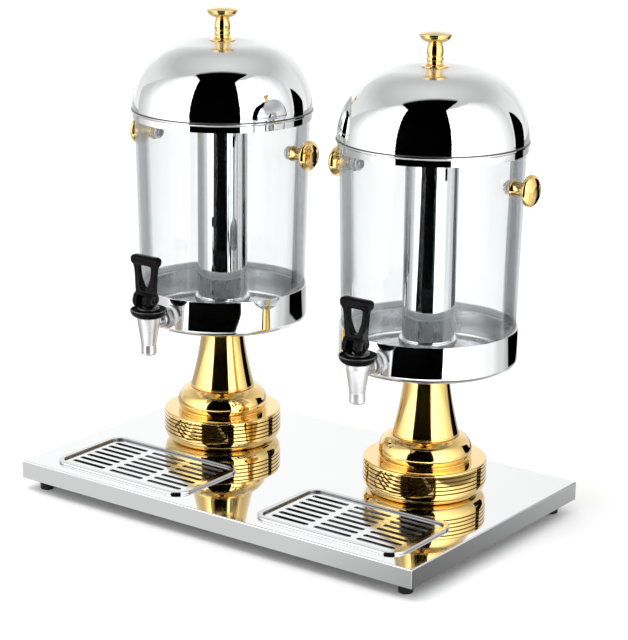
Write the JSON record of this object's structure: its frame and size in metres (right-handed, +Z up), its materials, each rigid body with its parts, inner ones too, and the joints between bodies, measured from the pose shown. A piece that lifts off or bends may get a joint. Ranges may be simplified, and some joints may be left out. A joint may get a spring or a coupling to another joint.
{
  "type": "beverage dispenser",
  "caption": "Countertop drinks dispenser: clear tanks with domed steel lids and ice tubes on turned gold pedestals, with pull taps over slotted drip trays on a steel base.",
  "frame": {"origin": "on the floor, in the middle of the base's footprint", "axes": "+Z up; the taps and drip trays face -Y; the two tanks stand side by side along X"},
  "size_m": [0.579, 0.35, 0.576],
  "materials": {
    "polished_steel": "mirror polished stainless sheet",
    "brushed_sheet": "fine satin stainless sheet",
    "gold_casting": "polished, gold plated turned metal",
    "chromed_metal": "polished chrome plating",
    "fastener_steel": "plain stainless",
    "clear_plastic": "clear polycarbonate",
    "black_plastic": "semi-gloss moulded black plastic",
    "black_rubber": "matte black rubber",
    "silicone": "translucent white silicone"
  },
  "bodies": {
    "base": {"base_plate": "polished_steel", "rubber_feet": "black_rubber", "foot_screws": "fastener_steel", "foot_nuts": "fastener_steel", "left_pedestal_disc": "gold_casting", "left_pedestal_bulb": "gold_casting", "left_pedestal_neck": "gold_casting", "left_clamp_rod": "fastener_steel", "left_clamp_nut": "fastener_steel", "left_tank_cup": "polished_steel", "left_cup_gasket": "black_rubber", "left_tank_seal": "silicone", "left_clear_tank": "clear_plastic", "left_ice_tube": "polished_steel", "left_ice_tube_seal": "silicone", "left_side_knobs": "gold_casting", "left_side_screws": "fastener_steel", "left_side_washers": "silicone", "left_tap_body": "chromed_metal", "left_tap_locknut": "chromed_metal", "left_tap_washers": "silicone", "left_tap_collar": "black_plastic", "left_tap_spring": "fastener_steel", "right_pedestal_disc": "gold_casting", "right_pedestal_bulb": "gold_casting", "right_pedestal_neck": "gold_casting", "right_clamp_rod": "fastener_steel", "right_clamp_nut": "fastener_steel", "right_tank_cup": "polished_steel", "right_cup_gasket": "black_rubber", "right_tank_seal": "silicone", "right_clear_tank": "clear_plastic", "right_ice_tube": "polished_steel", "right_ice_tube_seal": "silicone", "right_side_knobs": "gold_casting", "right_side_screws": "fastener_steel", "right_side_washers": "silicone", "right_tap_body": "chromed_metal", "right_tap_locknut": "chromed_metal", "right_tap_washers": "silicone", "right_tap_collar": "black_plastic", "right_tap_spring": "fastener_steel"},
    "left_lid": {"left_lid": "polished_steel", "left_lid_knob": "gold_casting", "left_lid_knob_screw": "fastener_steel"},
    "left_tray": {"left_drip_tray": "polished_steel"},
    "left_grille": {"left_drip_grille": "brushed_sheet"},
    "left_valve": {"left_tap_stem": "fastener_steel", "left_tap_seat": "silicone", "left_tap_pin": "fastener_steel"},
    "left_handle": {"left_tap_handle": "black_plastic"},
    "right_lid": {"right_lid": "polished_steel", "right_lid_knob": "gold_casting", "right_lid_knob_screw": "fastener_steel"},
    "right_tray": {"right_drip_tray": "polished_steel"},
    "right_grille": {"right_drip_grille": "brushed_sheet"},
    "right_valve": {"right_tap_stem": "fastener_steel", "right_tap_seat": "silicone", "right_tap_pin": "fastener_steel"},
    "right_handle": {"right_tap_handle": "black_plastic"}
  },
  "joints": [
    {"name": "left_lid_lift", "type": "slide", "parent": "base", "child": "left_lid", "axis": [0, 0, 1], "range_m": [0, 0.06]},
    {"name": "left_tray_lift", "type": "slide", "parent": "base", "child": "left_tray", "axis": [0, 0, 1], "range_m": [0, 0.03]},
    {"name": "left_grille_lift", "type": "slide", "parent": "left_tray", "child": "left_grille", "axis": [0, 0, 1], "range_m": [0, 0.025]},
    {"name": "left_valve_lift", "type": "slide", "parent": "base", "child": "left_valve", "axis": [0, 0, 1], "range_m": [0, 0.0042], "deforming": ["left_tap_spring"]},
    {"name": "left_handle_pull", "type": "hinge", "parent": "left_valve", "child": "left_handle", "pos_m": [-0.152, -0.092, 0.2453], "axis": [1, 0, 0], "range_deg": [0, 35], "stiffness_Nm_per_rad": 0.12, "springref_deg": -28.65},
    {"name": "right_lid_lift", "type": "slide", "parent": "base", "child": "right_lid", "axis": [0, 0, 1], "range_m": [0, 0.06]},
    {"name": "right_tray_lift", "type": "slide", "parent": "base", "child": "right_tray", "axis": [0, 0, 1], "range_m": [0, 0.03]},
    {"name": "right_grille_lift", "type": "slide", "parent": "right_tray", "child": "right_grille", "axis": [0, 0, 1], "range_m": [0, 0.025]},
    {"name": "right_valve_lift", "type": "slide", "parent": "base", "child": "right_valve", "axis": [0, 0, 1], "range_m": [0, 0.0042], "deforming": ["right_tap_spring"]},
    {"name": "right_handle_pull", "type": "hinge", "parent": "right_valve", "child": "right_handle", "pos_m": [0.152, -0.092, 0.2453], "axis": [1, 0, 0], "range_deg": [0, 35], "stiffness_Nm_per_rad": 0.12, "springref_deg": -28.65}
  ],
  "couplings": [
    {"joint": "left_valve_lift", "follows": "left_handle_pull", "m_per_rad": 0.0066},
    {"joint": "right_valve_lift", "follows": "right_handle_pull", "m_per_rad": 0.0066}
  ]
}
